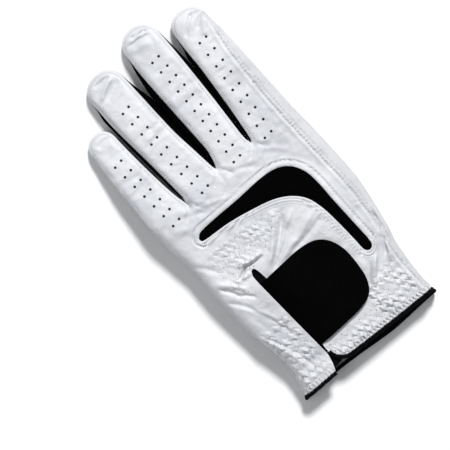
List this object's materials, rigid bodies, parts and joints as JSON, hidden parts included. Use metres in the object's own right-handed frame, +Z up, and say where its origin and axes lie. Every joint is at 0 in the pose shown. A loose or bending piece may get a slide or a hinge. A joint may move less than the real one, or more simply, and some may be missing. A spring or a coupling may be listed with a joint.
{
  "type": "golf glove",
  "caption": "Left-hand golf glove of thin white leather, palm down, with a black knuckle insert, black fourchettes and a closure tab on the back.",
  "frame": {"origin": "middle of the footprint, on the surface that the glove lies on", "axes": "+Z up out of the back of the hand, +Y towards the fingertips, +X towards the thumb side"},
  "size_m": [0.1056, 0.2203, 0.0215],
  "materials": {
    "white_leather": "thin full-grain leather with a fine grain and a satin sheen",
    "stretch_fabric": "black knitted stretch fabric",
    "tab_rubber": "moulded black cover, satin",
    "hook_and_loop": "black hook and loop fastener",
    "bias_tape": "black woven edge tape",
    "elastic_tape": "white woven elastic, sewn in stretched"
  },
  "bodies": {
    "hand": {"palm_panel": "white_leather", "back_panel": "white_leather", "knuckle_insert": "stretch_fabric", "insert_trim": "white_leather", "thumb_side_strip": "white_leather", "little_side_strip": "white_leather", "index_middle_web": "stretch_fabric", "middle_ring_web": "stretch_fabric", "ring_little_web": "stretch_fabric", "slit_binding": "bias_tape", "tab_anchor": "bias_tape", "loop_patch": "hook_and_loop", "wrist_binding_little": "bias_tape", "wrist_binding_thumb": "bias_tape", "wrist_binding_palm": "bias_tape", "cuff_elastic_little": "elastic_tape", "cuff_elastic_thumb": "elastic_tape", "back_elastic": "elastic_tape", "heel_elastic": "elastic_tape", "thumb_hole_binding": "white_leather"},
    "closure_tab": {"tab_cover": "tab_rubber", "tab_hook": "hook_and_loop"},
    "thumb_root": {"thumb_root_front": "white_leather", "thumb_root_back": "white_leather", "thumb_root_wall": "white_leather"},
    "thumb_stall": {"thumb_front": "white_leather", "thumb_back": "white_leather"},
    "index_base": {"index_back_base": "white_leather", "index_palm_base": "white_leather", "index_fourchette_base": "stretch_fabric"},
    "index_tip": {"index_back_tip": "white_leather", "index_palm_tip": "white_leather", "index_fourchette_tip": "stretch_fabric"},
    "middle_base": {"middle_back_base": "white_leather", "middle_palm_base": "white_leather", "middle_fourchette_index_side_base": "stretch_fabric", "middle_fourchette_ring_side_base": "stretch_fabric"},
    "middle_tip": {"middle_back_tip": "white_leather", "middle_palm_tip": "white_leather", "middle_fourchette_index_side_tip": "stretch_fabric", "middle_fourchette_ring_side_tip": "stretch_fabric"},
    "ring_base": {"ring_back_base": "white_leather", "ring_palm_base": "white_leather", "ring_fourchette_middle_side_base": "stretch_fabric", "ring_fourchette_little_side_base": "stretch_fabric"},
    "ring_tip": {"ring_back_tip": "white_leather", "ring_palm_tip": "white_leather", "ring_fourchette_middle_side_tip": "stretch_fabric", "ring_fourchette_little_side_tip": "stretch_fabric"},
    "little_base": {"little_back_base": "white_leather", "little_palm_base": "white_leather", "little_fourchette_base": "stretch_fabric"},
    "little_tip": {"little_back_tip": "white_leather", "little_palm_tip": "white_leather", "little_fourchette_tip": "stretch_fabric"}
  },
  "joints": [
    {"name": "index_knuckle", "type": "hinge", "parent": "hand", "child": "index_base", "pos_m": [0.03513, 0.01875, 0.0063], "axis": [-1, 0, 0], "range_deg": [0, 85]},
    {"name": "index_crease", "type": "hinge", "parent": "index_base", "child": "index_tip", "pos_m": [0.03637, 0.05853, 0.00307], "axis": [-1, 0, 0], "range_deg": [0, 90]},
    {"name": "middle_knuckle", "type": "hinge", "parent": "hand", "child": "middle_base", "pos_m": [0.00942, 0.02075, 0.0063], "axis": [-1, 0, 0], "range_deg": [0, 85]},
    {"name": "middle_crease", "type": "hinge", "parent": "middle_base", "child": "middle_tip", "pos_m": [0.01003, 0.06438, 0.00307], "axis": [-1, 0, 0], "range_deg": [0, 90]},
    {"name": "ring_knuckle", "type": "hinge", "parent": "hand", "child": "ring_base", "pos_m": [-0.01638, 0.01875, 0.0063], "axis": [-1, 0, 0], "range_deg": [0, 85]},
    {"name": "ring_crease", "type": "hinge", "parent": "ring_base", "child": "ring_tip", "pos_m": [-0.01906, 0.0592, 0.00307], "axis": [-1, 0, 0], "range_deg": [0, 90]},
    {"name": "little_knuckle", "type": "hinge", "parent": "hand", "child": "little_base", "pos_m": [-0.04047, 0.01275, 0.0063], "axis": [-1, 0, 0], "range_deg": [0, 85]},
    {"name": "little_crease", "type": "hinge", "parent": "little_base", "child": "little_tip", "pos_m": [-0.04183, 0.04367, 0.00307], "axis": [-1, 0, 0], "range_deg": [0, 90]},
    {"name": "thumb_swing", "type": "hinge", "parent": "hand", "child": "thumb_root", "pos_m": [0.02283, -0.05625, 0.003], "axis": [0, 0, -1], "range_deg": [0, 80]},
    {"name": "thumb_lift", "type": "hinge", "parent": "thumb_root", "child": "thumb_stall", "pos_m": [0.01193, -0.03487, -0.0003], "axis": [-0.891, -0.454, 0], "range_deg": [0, 60]},
    {"name": "tab_peel", "type": "hinge", "parent": "hand", "child": "closure_tab", "pos_m": [-0.02318, -0.067, 0.02007], "axis": [0, -0.9982, -0.0599], "range_deg": [0, 160]}
  ]
}
